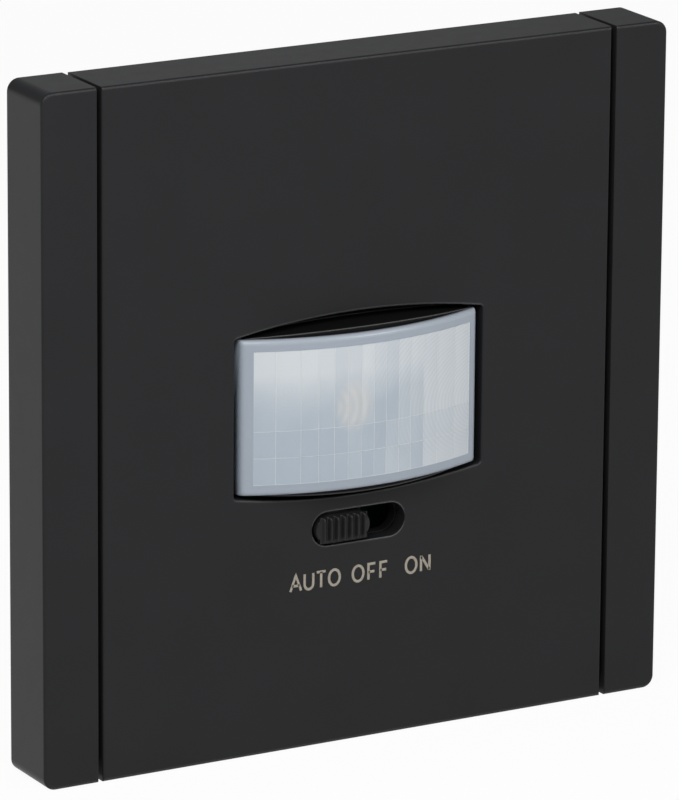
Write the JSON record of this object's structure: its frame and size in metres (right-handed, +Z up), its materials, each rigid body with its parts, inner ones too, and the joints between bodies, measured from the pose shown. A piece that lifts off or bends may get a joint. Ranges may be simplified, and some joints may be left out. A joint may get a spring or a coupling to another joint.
{
  "type": "motion sensor light switch",
  "caption": "Flush wall switch with a bulged infrared motion lens in a square cover frame, a ribbed three-position slide switch, and a claw-fixed insert with screw terminals.",
  "frame": {"origin": "centre of the device in the wall plane, midway between the box screw slots", "axes": "+X right, +Z up, the front faces -Y and the insert reaches into the wall along +Y"},
  "size_m": [0.084, 0.0374, 0.084],
  "materials": {
    "black_plastic": "fine satin",
    "lens_plastic": "milky polyethylene",
    "head_plastic": "matt",
    "insert_plastic": "matt",
    "terminal_plastic": "matt",
    "zinc_steel": "zinc plated",
    "board": "solder mask",
    "can_metal": "nickel",
    "dark_filter": "polished",
    "lead_wire": "tinned",
    "clear_resin": "clear",
    "white_plastic": "satin",
    "component_black": "matt",
    "capacitor_sleeve": "shrink sleeve",
    "film_box": "moulded",
    "varistor_blue": "dipped",
    "fuse_box": "moulded",
    "copper": "enamelled wire",
    "brass": "machined"
  },
  "bodies": {
    "root": {"cover_frame": "black_plastic", "lens_hood": "black_plastic", "lens": "lens_plastic", "module_housing": "head_plastic", "module_cover": "head_plastic", "insert_housing": "insert_plastic", "insert_cover": "insert_plastic", "terminal_block": "terminal_plastic", "switch_base": "terminal_plastic", "trimmer_bodies": "terminal_plastic", "support_ring": "zinc_steel", "module_screws": "zinc_steel", "cover_screws": "zinc_steel", "terminal_screws": "zinc_steel", "switch_shell": "zinc_steel", "sensor_board": "board", "power_board": "board", "pir_can": "can_metal", "pir_window": "dark_filter", "pir_leads": "lead_wire", "light_sensor_leads": "lead_wire", "switch_terminals": "lead_wire", "header_pins": "lead_wire", "light_sensor": "clear_resin", "controller_chip": "component_black", "header_strip": "component_black", "header_socket": "component_black", "relay": "component_black", "choke_core": "component_black", "main_capacitor": "capacitor_sleeve", "film_capacitor": "film_box", "varistor": "varistor_blue", "fuse": "fuse_box", "choke_winding": "copper", "terminal_live": "brass", "terminal_load": "brass", "terminal_neutral": "brass"},
    "front_plate": {"front_plate": "black_plastic"},
    "slider": {"slide_knob": "black_plastic", "switch_actuator": "white_plastic", "switch_contact": "lead_wire"},
    "time_dial": {"time_dial": "white_plastic"},
    "lux_dial": {"lux_dial": "white_plastic"},
    "claw_left": {"claw_left": "zinc_steel"},
    "claw_right": {"claw_right": "zinc_steel"},
    "claw_nut_left": {"claw_nut_left": "zinc_steel"},
    "claw_nut_right": {"claw_nut_right": "zinc_steel"},
    "claw_screw_left": {"claw_screw_left": "zinc_steel"},
    "claw_screw_right": {"claw_screw_right": "zinc_steel"}
  },
  "joints": [
    {"name": "knob_slide", "type": "slide", "parent": "root", "child": "slider", "axis": [1, 0, 0], "range_m": [0, 0.0046]},
    {"name": "plate_pull", "type": "slide", "parent": "root", "child": "front_plate", "axis": [0, -1, 0], "range_m": [0, 0.012]},
    {"name": "time_turn", "type": "hinge", "parent": "root", "child": "time_dial", "pos_m": [-0.008, -0.006, 0.0164], "axis": [0, 1, 0], "range_deg": [-135, 135]},
    {"name": "lux_turn", "type": "hinge", "parent": "root", "child": "lux_dial", "pos_m": [0.008, -0.006, 0.0164], "axis": [0, 1, 0], "range_deg": [-135, 135]},
    {"name": "claw_screw_left_turn", "type": "hinge", "parent": "root", "child": "claw_screw_left", "pos_m": [-0.0232, 0, 0], "axis": [0, 1, 0], "range_deg": [0, 3600]},
    {"name": "claw_nut_left_slide", "type": "slide", "parent": "root", "child": "claw_nut_left", "axis": [0, -1, 0], "range_m": [0, 0.006]},
    {"name": "claw_left_swing", "type": "hinge", "parent": "root", "child": "claw_left", "pos_m": [-0.0228, 0.002, 0], "axis": [0, 0, 1], "range_deg": [0, 8.5]},
    {"name": "claw_screw_right_turn", "type": "hinge", "parent": "root", "child": "claw_screw_right", "pos_m": [0.0232, 0, 0], "axis": [0, 1, 0], "range_deg": [0, 3600]},
    {"name": "claw_nut_right_slide", "type": "slide", "parent": "root", "child": "claw_nut_right", "axis": [0, -1, 0], "range_m": [0, 0.006]},
    {"name": "claw_right_swing", "type": "hinge", "parent": "root", "child": "claw_right", "pos_m": [0.0228, 0.002, 0], "axis": [0, 0, -1], "range_deg": [0, 8.5]}
  ],
  "couplings": [
    {"joint": "claw_screw_left_turn", "follows": "claw_nut_left_slide", "rad_per_m": 10472},
    {"joint": "claw_left_swing", "follows": "claw_nut_left_slide", "rad_per_m": 24.725},
    {"joint": "claw_screw_right_turn", "follows": "claw_nut_right_slide", "rad_per_m": 10472},
    {"joint": "claw_right_swing", "follows": "claw_nut_right_slide", "rad_per_m": 24.725}
  ]
}
